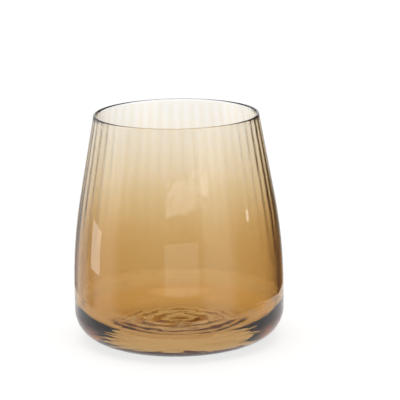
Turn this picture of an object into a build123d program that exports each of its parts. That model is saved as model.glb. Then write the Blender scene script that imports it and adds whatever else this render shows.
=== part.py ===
"""A hand blown vase: an amber gather with optic ribs, cased in clear glass, on a heavy clear base.

Millimetres, +Z up. The origin is at the centre of the foot, on the surface that the vase stands on.
A skin is one smooth face of the vessel, inside or outside: a straight upper side, a shoulder that
turns it into an upright belly, and a rounded heel below.
"""
from build123d import *
import os
from math import atan2, cos, pi, radians, sin, tan

# ---- Outside ----
height = 118.0             # foot to lip
lip_radius = 42.5          # outer radius at the lip
belly_radius = 54.6        # widest radius
belly_height = 26.5        # top of the upright part of the belly
shoulder_height = 51.4     # where the straight upper side, run on down, would meet the belly
heel_radius = 15.5         # rounding between belly and underside
underside_rise = 3.0       # degrees that the underside rises outwards from the foot

# ---- Thickness of the glass ----
lip_wall = 1.5
belly_wall = 3.0
floor_height = 6.0         # inside floor, where it meets the heel
floor_crown = 5.0          # how far the middle of the floor is pushed up above that
inner_heel_radius = 16.0
floor_corner = 12.0        # degrees between the end of the inner heel and the floor

# ---- Amber gather, between the casing and the hollow ----
amber_lip = 0.25
amber_belly = 1.5
amber_floor = 0.8
upright = 1.0              # straight run of its outer face between the heel and the shoulder
amber_drop = 3.4           # how much lower its outer face turns at the shoulder than the skins do
clear_lip = 1.2            # the amber stops this far below the lip

# ---- Heavy base and foot ----
foot_radius = 31.0         # outside of the flat ring that stands on the table
pad_margin = 1.5           # the clear pad under the amber floor reaches this far past the foot
foot_land = 2.0            # width of that ring
hollow_depth = 1.0         # shallow hollow in the underside, inside the ring

# ---- Optic ribs on the inner face ----
rib_count = 48
rib_swell = 0.10           # how far a crest or a valley is from the plain inner skin
rib_lead_in = 5.0          # below the lip, over which the ribs rise to their full swell
rib_end = 44.0             # height at which they have died out
rib_points = 4             # points round one rib: crest, slope, valley, slope
ring_gap = 5.0             # about how far apart the rings of points down the inner skin are

# ---- Working allowances ----
over = 1.5                 # how far a cutting shape runs past what it cuts
bite = 0.04                # how far the lip's inner rounding and the floor's edge reach into the hollow

# ---- The three skins and the pad, from the sizes above ----
inner_lip = lip_radius - lip_wall
inner_belly = belly_radius - belly_wall
inner_waist = floor_height + inner_heel_radius * cos(radians(floor_corner))
joint_lip = inner_lip + amber_lip
joint_belly = inner_belly + amber_belly
joint_floor = floor_height - amber_floor
joint_heel_radius = inner_heel_radius + amber_belly
joint_waist = joint_floor + joint_heel_radius
joint_shoulder = shoulder_height - amber_drop
floor_radius = inner_belly - inner_heel_radius * (1 - sin(radians(floor_corner)))
pad_radius = foot_radius + pad_margin


def lean_of(top, widest, corner=shoulder_height):
    """Angle from upright of the straight upper side, which would meet the belly at the corner."""
    return atan2(widest - top, height - corner)


def shoulder_of(top, widest, waist, corner=shoulder_height):
    """Radius of the arc that turns the upright belly, above the waist, into the straight side."""
    return (corner - waist) / tan(lean_of(top, widest, corner) / 2)


def inner_side(z):
    """Radius of the plain inner skin above its waist."""
    lean = lean_of(inner_lip, inner_belly)
    shoulder = shoulder_of(inner_lip, inner_belly, inner_waist)
    if z > inner_waist + shoulder * sin(lean):
        return inner_lip + (height - z) * tan(lean)
    return inner_belly - shoulder + (shoulder ** 2 - (z - inner_waist) ** 2) ** 0.5


def turned(points, radii):
    """The solid that a closed outline of (radius, height) points makes round the upright axis."""
    outline = FilletPolyline([(r, 0, z) for r, z in points], radius=radii, close=True)
    return revolve(make_face(outline), Axis.Z)


def dome(radius, base, rise):
    """A shallow round dome that stands at the height base."""
    edge = Vector(radius, 0, base)
    middle = Vector(0, 0, base)
    crown = Vector(0, 0, base + rise)
    ball = (radius ** 2 + rise ** 2) / (2 * rise)
    halfway = Vector(radius / 2, 0, base + rise - ball + (ball ** 2 - radius ** 2 / 4) ** 0.5)
    outline = [ThreePointArc(edge, halfway, crown), Line(crown, middle), Line(middle, edge)]
    return revolve(make_face(outline), Axis.Z)


def outside():
    """The whole outer skin, filled, with a flat foot ring and a shallow hollow inside it."""
    rise = (belly_radius - foot_radius) * tan(radians(underside_rise))
    points = [
        (0, 0),
        (foot_radius, 0),
        (belly_radius, rise),
        (belly_radius, shoulder_height),
        (lip_radius, height),
        (inner_lip - bite, height),
        (inner_lip - bite, height - lip_wall),
        (0, height - lip_wall),
    ]
    shoulder = shoulder_of(lip_radius, belly_radius, belly_height)
    body = turned(points, [0, 0, heel_radius, shoulder, lip_wall / 2, lip_wall / 2, 0, 0])
    return body - dome(foot_radius - foot_land, 0, hollow_depth)


def joint_skin():
    """The face between casing and amber, filled up to where the amber stops."""
    stop = height - clear_lip
    lean = lean_of(joint_lip, joint_belly, joint_shoulder)
    points = [
        (0, joint_floor),
        (joint_belly, joint_floor),
        (joint_belly, joint_shoulder),
        (joint_lip + clear_lip * tan(lean), stop),
        (0, stop),
    ]
    shoulder = shoulder_of(joint_lip, joint_belly, joint_waist + upright, joint_shoulder)
    filled = turned(points, [0, joint_heel_radius, shoulder, 0, 0])
    return filled - dome(pad_radius, joint_floor, floor_crown)


def swell_at(z):
    """Swell of the ribs at a height: none at the lip, full below the lead-in, none at the end."""
    if z > height - rib_lead_in:
        return rib_swell * max(height - z, 0) / rib_lead_in
    return rib_swell * max(z - rib_end, 0) / (height - rib_lead_in - rib_end)


def ring(radius, z):
    """A closed curve round the axis that swells in and out once for each rib."""
    count = rib_count * rib_points
    points = []
    for i in range(count):
        turn = 2 * pi * i / count
        reach = radius + swell_at(z) * cos(rib_count * turn)
        points.append((reach * cos(turn), reach * sin(turn), z))
    shares = [i / count for i in range(count + 1)]
    return Wire([Edge.make_spline(points, periodic=True, parameters=shares)])


def hollow():
    """The space inside the vessel, from its floor to above the lip, with the ribs in its side."""
    turn_end = radians(90 - floor_corner)
    turns = round(turn_end * inner_heel_radius / ring_gap)
    curves = []
    for i in range(turns, 0, -1):
        slope = turn_end * i / turns
        radius = inner_belly - inner_heel_radius * (1 - cos(slope))
        curves.append(ring(radius, inner_waist - inner_heel_radius * sin(slope)))
    stretches = [inner_waist, rib_end, height - rib_lead_in, height, height + ring_gap]
    for low, high in zip(stretches, stretches[1:]):
        steps = max(1, round((high - low) / ring_gap))
        for i in range(steps):
            z = low + (high - low) * i / steps
            curves.append(ring(inner_side(z), z))
    top = height + ring_gap
    curves.append(ring(inner_side(top), top))
    return loft([make_face(curve) for curve in curves])


def mound():
    """The pushed-up floor, run on past its edge so that it crosses the heel of the hollow cleanly."""
    ball = (floor_radius ** 2 + floor_crown ** 2) / (2 * floor_crown)
    wide = floor_radius + over
    rise = ball - (ball ** 2 - wide ** 2) ** 0.5
    return dome(wide, floor_height + floor_crown + bite - rise, rise)


def build():
    """The three masses of glass, by name."""
    skin = outside()
    core = joint_skin()
    space = hollow() - mound()
    column = turned([(0, -over), (pad_radius, -over), (pad_radius, joint_floor), (0, joint_floor)],
                    [0, 0, 0, 0])
    pad = (skin & column) + dome(pad_radius, joint_floor, floor_crown)
    return {
        "clear_casing": skin - core - pad - space,
        "amber_layer": core - space,
        "heavy_base": pad,
    }


os.makedirs("parts", exist_ok=True)
for name, solid in build().items():
    solid.label = name
    export_step(solid, f"parts/{name}.step")
    print(name, round(solid.volume / 1000, 2), "cm3")
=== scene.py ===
# %% [markdown]
# # A hand blown amber vase
# The vase is one vessel blown from three masses of glass: an amber gather, a clear gather laid
# over it, and a thick clear base. This file makes its glass, its light and its camera.
# Everything is in metres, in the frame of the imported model, with the foot at the origin.

# %% Load the model and keep its box
from math import atan2, cos, degrees, pi, radians, sin, tan

import bmesh
import bpy
from mathutils import Matrix, Vector


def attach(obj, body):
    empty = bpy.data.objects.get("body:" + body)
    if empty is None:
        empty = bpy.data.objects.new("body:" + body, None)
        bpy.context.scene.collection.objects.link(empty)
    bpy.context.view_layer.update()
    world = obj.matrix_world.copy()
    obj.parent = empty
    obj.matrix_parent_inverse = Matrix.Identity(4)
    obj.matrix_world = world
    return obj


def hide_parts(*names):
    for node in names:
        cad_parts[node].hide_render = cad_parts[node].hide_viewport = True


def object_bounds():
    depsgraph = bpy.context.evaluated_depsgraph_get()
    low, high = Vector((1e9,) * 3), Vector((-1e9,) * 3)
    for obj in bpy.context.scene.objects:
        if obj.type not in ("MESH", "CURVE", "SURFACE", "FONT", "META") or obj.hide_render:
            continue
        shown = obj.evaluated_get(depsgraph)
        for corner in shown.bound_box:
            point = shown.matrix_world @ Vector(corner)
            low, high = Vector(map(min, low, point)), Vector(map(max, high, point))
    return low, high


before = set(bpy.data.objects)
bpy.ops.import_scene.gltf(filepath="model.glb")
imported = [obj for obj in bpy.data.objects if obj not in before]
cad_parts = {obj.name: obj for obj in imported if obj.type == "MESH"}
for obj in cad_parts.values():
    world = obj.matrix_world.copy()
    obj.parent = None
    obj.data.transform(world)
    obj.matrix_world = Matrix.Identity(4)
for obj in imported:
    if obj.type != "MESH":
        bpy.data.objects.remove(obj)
model_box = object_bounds()
low, high = (Vector(corner) for corner in model_box)
height = high.z
print(len(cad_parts), "nodes, model box", [round(v, 4) for v in (*low, *high)])

# %% [markdown]
# ## Camera
# The vase is seen from a little above its rim, through a long lens, so that the rim and the floor
# are both flat ellipses. The camera is made first: every other choice is judged through it.

# %% Camera
camera_distance = 1.105
camera_height = 0.3262
lens = 197.4               # millimetres
sensor_width = 36          # millimetres
camera_roll = radians(-0.83)
look_right = 0.0116        # the vase stands left of and below the middle of the frame
look_up = 0.0128

stand = Vector((0, -camera_distance, camera_height))
aim = Vector((0, 0, height / 2)) - stand
turn = aim.to_track_quat("-Z", "Y")
aim = aim + turn @ Vector((look_right, look_up, 0))
turn = aim.to_track_quat("-Z", "Y")
camera_data = bpy.data.cameras.new("camera")
camera_data.lens = lens
camera_data.sensor_width = sensor_width
camera = bpy.data.objects.new("camera", camera_data)
roll = Matrix.Rotation(camera_roll, 4, "Z")
camera.matrix_world = Matrix.Translation(stand) @ turn.to_matrix().to_4x4() @ roll
bpy.context.collection.objects.link(camera)
bpy.context.scene.camera = camera
print("camera looks down by", round(degrees(atan2(-aim.z, -stand.y)), 1), "degrees")

# %% [markdown]
# ## Outside of the vessel
# On the real vase the outside was shaped hot: a wide mouth, a straight side that leans out below
# it, a shoulder that brings it upright at the belly, and a rounded heel. It is a body of
# revolution, so half of its outline, a meridian, says everything. It could be one long curve, but
# arcs and straight runs keep the sizes of the model exactly, and arcs that meet without a corner
# keep the reflections smooth.

# %% Sizes of the outside
mm = 0.001
lip_radius = 42.5 * mm
belly_radius = 54.6 * mm
belly_height = 26.5 * mm        # top of the upright part of the belly
shoulder_height = 51.4 * mm     # where the straight side, run on down, would meet the belly
heel_radius = 15.5 * mm
underside_rise = radians(3.0)   # the underside rises outwards from the foot
lip_wall = 1.5 * mm
shoulder_step = 0.5             # degrees of arc to a face; other arcs have their own
heel_step = 2.0
lip_step = 15.0


def arc(centre, radius, start, end, step=3.0):
    """Points on an arc in the plane of radius and height, angles in degrees."""
    count = max(2, round(abs(end - start) / step))
    turns = [radians(start + (end - start) * i / count) for i in range(count + 1)]
    return [(centre[0] + radius * cos(t), centre[1] + radius * sin(t)) for t in turns]


def run(start, end, step=2.5 * mm):
    """Points along a straight run, its start left out."""
    out, up = end[0] - start[0], end[1] - start[1]
    count = max(1, round((out ** 2 + up ** 2) ** 0.5 / step))
    return [(start[0] + out * i / count, start[1] + up * i / count) for i in range(1, count + 1)]


def side(top, widest, waist, stop, corner=shoulder_height):
    """A side from its waist up to the height stop: the shoulder's arc, then straight."""
    lean = atan2(widest - top, height - corner)
    shoulder = (corner - waist) / tan(lean / 2)
    points = arc((widest - shoulder, waist), shoulder, 0, degrees(lean), shoulder_step)
    return points + run(points[-1], (top + (height - stop) * tan(lean), stop))


# %% [markdown]
# ## Foot
# The vase stands on a narrow flat ring. Inside the ring the underside is ground a little hollow,
# so that the mark of the pipe does not scratch the table. A very shallow dome makes it.

# %% Foot and outer meridian
foot_radius = 31.0 * mm
foot_land = 2.0 * mm            # width of the ring
hollow_depth = 1.0 * mm
underside_step = 1.0 * mm       # length of a face there
dome_steps = 12                 # faces from the edge of a dome to its middle


def dome(radius, base, rise):
    """A shallow dome from its edge to its middle, the edge left out."""
    ball = (radius ** 2 + rise ** 2) / (2 * rise)
    reaches = [radius * (1 - i / dome_steps) for i in range(1, dome_steps + 1)]
    return [(r, base + rise - ball + (ball ** 2 - r ** 2) ** 0.5) for r in reaches]


def outer_meridian():
    """From the middle of the underside, round foot and heel, up the side and over the lip."""
    slope = tan(underside_rise)
    heel_z = heel_radius / cos(underside_rise) + (belly_radius - heel_radius - foot_radius) * slope
    inside = foot_radius - foot_land
    points = dome(inside, 0, hollow_depth)[::-1] + [(inside, 0), (foot_radius, 0)]
    centre = (belly_radius - heel_radius, heel_z)
    heel = arc(centre, heel_radius, degrees(underside_rise) - 90, 0, heel_step)
    points += run(points[-1], heel[0], underside_step) + heel[1:]
    points += run(points[-1], (belly_radius, belly_height))
    points += side(lip_radius, belly_radius, belly_height, height - lip_wall / 2)[1:]
    lean = degrees(atan2(belly_radius - lip_radius, height - shoulder_height))
    middle = (points[-1][0] - lip_wall / 2, height - lip_wall / 2)
    return points + arc(middle, lip_wall / 2, lean, 180, lip_step)[1:]


outside = outer_meridian()
widest_mm = max(r for r, z in outside) / mm
print("outer meridian", len(outside), "points, widest", round(widest_mm, 2), "mm")

# %% [markdown]
# ## Inside of the vessel
# The hollow follows the outside, but the glass gets thicker downwards: 1.5 mm at the lip, 3 mm at
# the belly and more in the base. Its floor is pushed up in the middle.

# %% Inner meridian
belly_wall = 3.0 * mm
floor_height = 6.0 * mm         # where the floor meets the heel
floor_crown = 5.0 * mm          # how far the middle is pushed up above that
inner_heel_radius = 16.0 * mm
floor_corner = radians(12.0)    # the corner between floor and heel is this far from smooth


def inner_meridian(clear, stop):
    """From the height stop down the hollow to the middle of its floor, clear metres outside it."""
    waist = floor_height + inner_heel_radius * cos(floor_corner)
    widest = belly_radius - belly_wall
    up = side(lip_radius - lip_wall + clear, widest + clear, waist, stop)
    heel = arc((widest - inner_heel_radius, waist), inner_heel_radius + clear, 0,
               degrees(floor_corner) - 90)
    return up[::-1] + heel[1:] + dome(heel[-1][0], heel[-1][1], floor_crown)


inside = inner_meridian(0, height - lip_wall / 2)
floor_edge, floor_middle = inside[-1 - dome_steps], inside[-1]
print("floor from", round(floor_edge[1] / mm, 2), "to", round(floor_middle[1] / mm, 2), "mm high")

# %% [markdown]
# ## Amber gather
# The colour gets deeper from the lip to the belly faster than the wall gets thicker, so it is a
# layer of amber inside the clear casing, blown out to almost nothing at the lip. Only how far
# light travels in it matters, so it is a closed layer that drinks light, a hair clear of
# the skins. A tint on the glass would be simpler, but it would not darken at the edges. Here the
# dome under the amber's floor starts at its heel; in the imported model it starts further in.

# %% Amber meridians
amber_lip = 0.25 * mm
amber_belly = 1.5 * mm
amber_floor = 0.8 * mm
upright = 1.0 * mm              # straight run between its heel and its shoulder
amber_drop = 3.4 * mm           # its outer face turns this much lower at the shoulder
clear_lip = 1.2 * mm            # the amber stops this far below the lip
film = 0.05 * mm                # clear glass left between the amber and each skin


def joint_meridian(clear, stop):
    """The amber's outer face, from the middle of the floor up, clear metres inside the joint."""
    floor = floor_height - amber_floor
    widest = belly_radius - belly_wall + amber_belly
    radius = inner_heel_radius + amber_belly
    heel = arc((widest - radius, floor + radius), radius - clear, -90, 0)
    flat = dome(heel[0][0], heel[0][1], floor_crown)[::-1]
    top = lip_radius - lip_wall + amber_lip
    corner = shoulder_height - amber_drop
    return flat + heel + side(top - clear, widest - clear, floor + radius + upright, stop, corner)


amber_top = height - clear_lip
amber_outside = joint_meridian(film, amber_top)
amber_inside = inner_meridian(film, amber_top)
print("amber", round((amber_outside[-1][0] - amber_inside[0][0]) / mm, 2), "mm thick at its top")

# %% [markdown]
# ## Optic ribs
# Before it was blown, the gather was dipped in a ribbed mould. The ribs stay as very shallow
# upright waves in the inner skin: strong below the lip, gone above the belly. They are made in the
# mesh, not painted, because they bend what is seen through both walls.
#
# One rib's width of the vessel is spun from the meridian, and that slice is copied round.
# Spinning the whole turn gives the same mesh but takes much longer.

# %% Ribs, and a meridian turned into glass
rib_count = 48
rib_swell = 0.10 * mm
rib_lead_in = 5.0 * mm          # below the lip, over which the ribs rise
rib_end = 44.0 * mm             # height at which they have died out
rib_steps = 8                   # faces across one rib
weld = 1e-6                     # points closer than this, in metres, are one
near_axis = 1 * mm              # nothing swells this close to the middle


def swell(angle, z):
    """How far the ribs move the inner skin at an angle and a height."""
    if z > height - rib_lead_in:
        depth = max(height - z, 0) / rib_lead_in
    else:
        depth = max(z - rib_end, 0) / (height - rib_lead_in - rib_end)
    return rib_swell * depth * cos(rib_count * angle)


def turned(name, plain, ribbed):
    """A closed glass shape from a plain and a ribbed meridian, one after the other."""
    bm = bmesh.new()
    on_rib = bm.verts.layers.int.new("ribbed")
    verts = []
    for r, z in plain + ribbed:
        vert = bm.verts.new((r, 0, z))
        vert[on_rib] = int(len(verts) >= len(plain))
        verts.append(vert)
    edges = [bm.edges.new(pair) for pair in zip(verts, verts[1:])]
    slice_angle = 2 * pi / rib_count
    round_axis = {"cent": (0, 0, 0), "axis": (0, 0, 1)}
    bmesh.ops.spin(bm, geom=verts + edges, angle=slice_angle, steps=rib_steps, use_merge=False,
                   **round_axis)
    bmesh.ops.spin(bm, geom=bm.verts[:] + bm.edges[:] + bm.faces[:], angle=2 * pi - slice_angle,
                   steps=rib_count - 1, use_duplicate=True, **round_axis)
    bmesh.ops.remove_doubles(bm, verts=bm.verts, dist=weld)
    for vert in bm.verts:
        reach = vert.co.xy.length
        if vert[on_rib] and reach > near_axis:
            scale = 1 + swell(atan2(vert.co.y, vert.co.x), vert.co.z) / reach
            vert.co.x *= scale
            vert.co.y *= scale
    bmesh.ops.recalc_face_normals(bm, faces=bm.faces)
    for face in bm.faces:
        face.smooth = True
    holes = sum(1 for edge in bm.edges if len(edge.link_faces) != 2)
    mesh = bpy.data.meshes.new(name)
    bm.to_mesh(mesh)
    bm.free()
    piece = bpy.data.objects.new(name, mesh)
    bpy.context.collection.objects.link(piece)
    print(name, len(mesh.polygons), "faces", holes, "open edges")
    return piece


# %% [markdown]
# ## The two visible masses
# Casing and base are fused, clear and alike, so no face shows between them: they are one
# closed body here, outer skin and inner skin. The amber lies inside that body.

# %% Vessel and lining
vessel = turned("vessel", outside, inside[1:])
amber_lining = turned("amber_lining", amber_outside, amber_inside)

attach(vessel, "root")
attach(amber_lining, "root")
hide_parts("clear_casing", "heavy_base")
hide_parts("amber_layer")

# %% [markdown]
# ## Writing shaders as sums
# A shader is easier to read as arithmetic than as a list of nodes. `Value` wraps the socket of a
# node, so that plus and times make Math nodes; `Shader` holds one node tree and adds other nodes.

# %% A small kit for shader maths
white = (1, 1, 1, 1)
colour_a, colour_b, colour_out = 6, 7, 2   # sockets of a Mix node that share a name with others


class Value:
    """A number that a node gives, with arithmetic."""

    def __init__(self, shader, socket):
        self.shader, self.socket = shader, socket

    def math(self, operation, *others):
        node = self.shader.node("ShaderNodeMath", {"operation": operation})
        for i, value in enumerate((self, *others)):
            self.shader.feed(node.inputs[i], value)
        return Value(self.shader, node.outputs[0])

    def __add__(self, other):
        return self.math("ADD", other)

    def __mul__(self, other):
        return self.math("MULTIPLY", other)

    def __sub__(self, other):
        return self.math("SUBTRACT", other)

    def __truediv__(self, other):
        return self.math("DIVIDE", other)

    def ramp(self, start, end, first=0.0, last=1.0):
        """A smooth change from first to last while this number goes from start to end."""
        node = self.shader.node("ShaderNodeMapRange", {"interpolation_type": "SMOOTHSTEP"},
                                {"Value": self, "From Min": start, "From Max": end,
                                 "To Min": first, "To Max": last})
        return Value(self.shader, node.outputs[0])


class Shader:
    """The node tree of a material or of the world."""

    def __init__(self, owner):
        owner.use_nodes = True
        self.nodes, self.links = owner.node_tree.nodes, owner.node_tree.links

    def node(self, kind, settings=None, sockets=None):
        """Add a node, with its settings, and numbers or links for its sockets."""
        node = self.nodes.new(kind)
        for name, setting in (settings or {}).items():
            setattr(node, name, setting)
        for name, value in (sockets or {}).items():
            self.feed(node.inputs[name], value)
        return node

    def feed(self, socket, value):
        """Link a socket, or set it."""
        if isinstance(value, Value):
            value = value.socket
        if isinstance(value, bpy.types.NodeSocket):
            self.links.new(value, socket)
        else:
            socket.default_value = value

    def place(self, kind="Object"):
        """Where the shaded point is on the object, in metres. For a world, which way it lies."""
        point = self.node("ShaderNodeTexCoord").outputs[kind]
        split = self.node("ShaderNodeSeparateXYZ", sockets={"Vector": point})
        return [Value(self, split.outputs[axis]) for axis in "XYZ"]

    def noise(self, x, y, z, scale, detail=2.0):
        """Noise between about -1 and 1 at a place."""
        at = self.node("ShaderNodeCombineXYZ", sockets={"X": x, "Y": y, "Z": z}).outputs[0]
        node = self.node("ShaderNodeTexNoise",
                         sockets={"Vector": at, "Scale": scale, "Detail": detail})
        return (Value(self, node.outputs["Fac"]) - 0.5) * 2

    def mix(self, factor, first, last):
        """The colour between two colours."""
        node = self.node("ShaderNodeMix", {"data_type": "RGBA"}, {"Factor": factor})
        self.feed(node.inputs[colour_a], first)
        self.feed(node.inputs[colour_b], last)
        return node.outputs[colour_out]

    def surface(self, sockets):
        """Set or link the sockets of the material's main shader."""
        for name, value in sockets.items():
            self.feed(self.nodes["Principled BSDF"].inputs[name], value)


# %% [markdown]
# ## Clear glass
# Fire polished glass has no grain, but a blown wall is never even. Four things are seen in
# it: upright streaks drawn out by the ribs, fading down the side; slow waves over all of it;
# long swirls round the thick heel, which break up its dark parts; and rings in the pushed-up
# floor, where the tool turned. All four are a bump in the shading, so the mesh does not have them.
# The rings and the swirls are deeper than the ribs and would be truer as mesh. Low down the
# glass is tinted, most at the heel, for colour that the amber layer alone does not give there.

# %% Sizes of the waves in the glass
streaks_across = 26.0      # finer streaks at higher numbers
streak_climb = 6           # how fast the streaks change going up, against going round
streak_detail = 3.0
streak_depth = 0.035       # millimetres, as all the depths are
streaks_from = 0.030       # height at which they start, full at the lip
wave_scale = 45.0
wave_detail = 1.0
wave_depth = 0.06
ring_gap = 8.5             # millimetres
ring_depth = 0.16
rings_within = (0.040, 0.030)     # from none to full, going in
rings_below = (0.0125, 0.0115)    # from none to full, going down
wobble_scale = 90.0        # the rings are not quite round
wobble = 1.6
swirl_scale = 170.0
swirl_length = 0.012       # longer swirls at lower numbers
swirl_depth = 0.14         # long swirls round the thick glass of the heel
swirls_below = (0.036, 0.018)
print("a cell of the streaks is", round(45 / streaks_across, 1), "mm wide at a radius of 45 mm")

# %% Clear glass
low_warmth = (0.95, 0.885, 0.78, 1)
warm_below = (0.118, 0.045)
heel_warmth = (0.88, 0.67, 0.38, 1)
heel_below = (0.020, 0.008)
heel_beyond = (0.028, 0.036)      # from none to full, going out
off_axis = 1e-5            # keeps the division by the reach safe on the axis

clear_glass = bpy.data.materials.new("clear_glass")
clear = Shader(clear_glass)
x, y, z = clear.place()
reach = (x * x + y * y).math("SQRT") + off_axis
streak = clear.noise(x / reach, y / reach, z * streak_climb, streaks_across, streak_detail)
streak = streak * z.ramp(streaks_from, height) * streak_depth
wave = clear.noise(x, y, z, wave_scale, wave_detail) * wave_depth
stray = clear.noise(x, y, z, wobble_scale) * wobble
rings = (reach * (2 * pi / (ring_gap * mm)) + stray).math("SINE") * ring_depth
rings = rings * reach.ramp(*rings_within) * z.ramp(*rings_below)
swirl = clear.noise(x / reach * swirl_length, y / reach * swirl_length, z + reach, swirl_scale)
swirl = swirl * z.ramp(*swirls_below) * swirl_depth
bump = clear.node("ShaderNodeBump",
                  sockets={"Height": streak + wave + rings + swirl, "Distance": mm})
warm = clear.mix(z.ramp(*warm_below), white, low_warmth)
tint = clear.mix(z.ramp(*heel_below) * reach.ramp(*heel_beyond), warm, heel_warmth)
clear.surface({"Base Color": tint, "Roughness": 0.0, "IOR": 1.5, "Transmission Weight": 1.0,
               "Normal": bump.outputs[0]})
vessel.data.materials.append(clear_glass)
print("clear glass has", len(clear.nodes), "nodes")

# %% [markdown]
# ## Amber glass
# The amber has no surface of its own inside the clear glass, so its skin bends nothing and only
# its depth shows. How much of each colour it drinks in a metre is what sets its hue: least red,
# nearly twice as much green, and more than three times as much blue.

# %% Amber glass
drunk_per_metre = (172, 315, 625)
strongest = 900.0          # the node's density; one less a colour is the share of it that is drunk
cloudy = (0.985, 0.97, 0.95, 1)
cloud_scale = 60.0
cloud_stretch = 0.4        # the clouds are taller than they are wide

amber_glass = bpy.data.materials.new("amber_glass")
amber = Shader(amber_glass)
x, y, z = amber.place()
cloud = amber.noise(x, y, z * cloud_stretch, cloud_scale)
amber.surface({"Base Color": amber.mix(cloud.ramp(-1, 1), white, cloudy), "Roughness": 0.0,
               "IOR": 1.0, "Transmission Weight": 1.0})
left_over = [1 - k / strongest for k in drunk_per_metre]
depth = amber.node("ShaderNodeVolumeAbsorption",
                   sockets={"Color": (*left_over, 1), "Density": strongest})
amber.feed(amber.nodes["Material Output"].inputs["Volume"], depth.outputs[0])
amber_lining.data.materials.append(amber_glass)
print("colour of the absorption", [round(v, 3) for v in left_over])

# %% [markdown]
# ## Table
# A product table is white paper lit from below as well as above, so that only a soft grey shadow
# is left. A little of its light is its own, the rest is what falls on it.

# %% Table
table_size = 0.13
table_glow = 0.77
table_paper = 0.34
table_sides = 96
table_drop = 0.0002        # below the foot, so that the two faces never fight
fibre_scale = 900.0
fibre_detail = 4.0
fibre_contrast = 0.03

bm = bmesh.new()
bmesh.ops.create_circle(bm, cap_ends=True, segments=table_sides, radius=table_size)
mesh = bpy.data.meshes.new("table")
bm.to_mesh(mesh)
bm.free()
table = bpy.data.objects.new("table", mesh)
table.location.z = -table_drop
bpy.context.collection.objects.link(table)
white_paper = bpy.data.materials.new("white_paper")
paper = Shader(white_paper)
x, y, z = paper.place()
fibres = paper.noise(x, y, z, fibre_scale, fibre_detail)
darker, lighter = ((table_paper * (1 + change),) * 3 + (1,)
                   for change in (-fibre_contrast, fibre_contrast))
paper.surface({"Base Color": paper.mix(fibres.ramp(-1, 1), darker, lighter), "Roughness": 0.9,
               "Specular IOR Level": 0.1, "Emission Color": white, "Emission Strength": table_glow})
table.data.materials.append(white_paper)
print("table", 2 * table_size, "m across")

# %% [markdown]
# ## Studio
# Glass is drawn by what stands round it. Bright openings between dark boards give the white
# ground and, just beside it, the dark lines down both edges. The boards reach all round, with an
# opening behind the vase for each of the usual views.

# %% Boards and openings
openings = (0, 45, 90, -135)   # compass of the middle of each, in degrees
half_opening = (7, 28)         # an opening starts and ends to close, either side of its middle
board = (0.20, 0.14, 0.085, 1)
opening_light = 1.03
ceiling = (0.4, 0.6)           # sines of the climbs between which the openings end

studio_world = bpy.data.worlds.new("studio")
bpy.context.scene.world = studio_world
studio = Shader(studio_world)
across, along, up = studio.place("Generated")
compass = across.math("ARCTAN2", along)
off_middle = [(compass + radians(opening)).math("ABSOLUTE") for opening in openings]
nearest = off_middle[0]
for off in off_middle[1:]:
    nearest = nearest.math("MINIMUM", off)
lit = nearest.ramp(*(radians(half) for half in half_opening), 1.0, 0.0)
lit = lit * up.ramp(*ceiling, 1.0, 0.0)
background = studio.nodes["Background"]
studio.feed(background.inputs["Color"], studio.mix(lit, board, white))
studio.feed(background.inputs["Strength"], opening_light)
print(len(openings), "openings, each", 2 * half_opening[1], "degrees wide with its soft edges")

# %% [markdown]
# ## Lamps
# A wide lamp overhead makes the soft shadow. The camera looks down on upright glass, so what
# the glass mirrors lies at the level of the table or below it: two panes in front, one for the
# side and one for the belly, and a narrow strip for the highlight near each edge. They are seen
# only as mirrored light, never straight or through the glass.

# %% Lamps
lamp_distance = 1.2


def softbox(name, compass, climb, wide, tall, brightness):
    """A lamp that faces the vase: where it stands, from the camera's side, and how big it looks.

    All but its brightness are in degrees, as seen from the vase.
    """
    data = bpy.data.lights.new(name, "AREA")
    data.shape = "RECTANGLE"
    data.size = 2 * lamp_distance * tan(radians(wide) / 2)
    data.size_y = 2 * lamp_distance * tan(radians(tall) / 2)
    data.energy = brightness * pi * data.size * data.size_y
    around, above = radians(compass), radians(climb)
    away = Vector((sin(around) * cos(above), -cos(around) * cos(above), sin(above)))
    lamp = bpy.data.objects.new(name, data)
    lamp.location = away * lamp_distance + Vector((0, 0, height / 2))
    lamp.rotation_euler = away.to_track_quat("Z", "Y").to_euler()
    lamp.visible_camera = False
    lamp.visible_transmission = False
    bpy.context.collection.objects.link(lamp)
    print(name, round(data.energy, 2), "W")


softbox("overhead", 0, 90, wide=67, tall=67, brightness=2.0)
softbox("upper_pane", 12, 8.6, wide=50, tall=1.5, brightness=2.0)
softbox("lower_pane", 3, -6, wide=36, tall=13, brightness=1.0)
softbox("left_strip", -102, -7, wide=16, tall=8, brightness=2.4)
softbox("right_strip", 85, 1, wide=4, tall=2, brightness=5.0)

# %% [markdown]
# ## How light is followed
# A ray that is seen through the vase crosses a dozen skins, so it is followed far. The light that
# glass gathers on a table is left out, so that only a plain grey shadow is left there.

# %% Rays and colours
scene = bpy.context.scene
scene.view_settings.view_transform = "Standard"
scene.cycles.max_bounces = 40
scene.cycles.transmission_bounces = 40
scene.cycles.glossy_bounces = 16
scene.cycles.caustics_refractive = False
scene.cycles.caustics_reflective = False
scene.cycles.blur_glossy = 0.0
